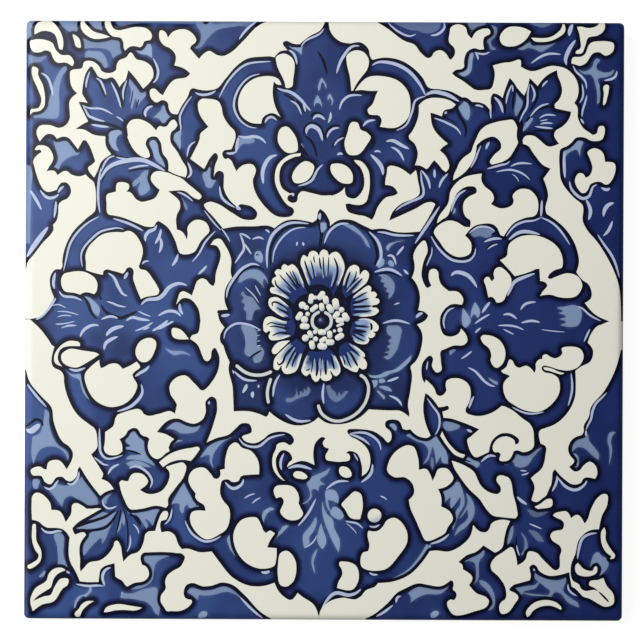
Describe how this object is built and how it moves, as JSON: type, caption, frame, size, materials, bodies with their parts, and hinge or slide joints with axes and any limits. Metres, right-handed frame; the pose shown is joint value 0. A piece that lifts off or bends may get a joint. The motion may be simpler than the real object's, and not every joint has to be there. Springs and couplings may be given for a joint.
{
  "type": "decorative tile",
  "caption": "Square cushion-edged ceramic wall tile with a keyed back and a glossy blue-and-cream glaze painted with a traditional rosette and scrolling leaves.",
  "frame": {"origin": "centre of the tile's back, on the surface that it lies on", "axes": "+Z out of the glazed face, +Y towards the top edge of the painted design, +X to its right"},
  "size_m": [0.1524, 0.1524, 0.0079],
  "materials": {
    "glazed_tile": "gloss"
  },
  "bodies": {
    "root": {"tile": "glazed_tile"}
  },
  "joints": []
}
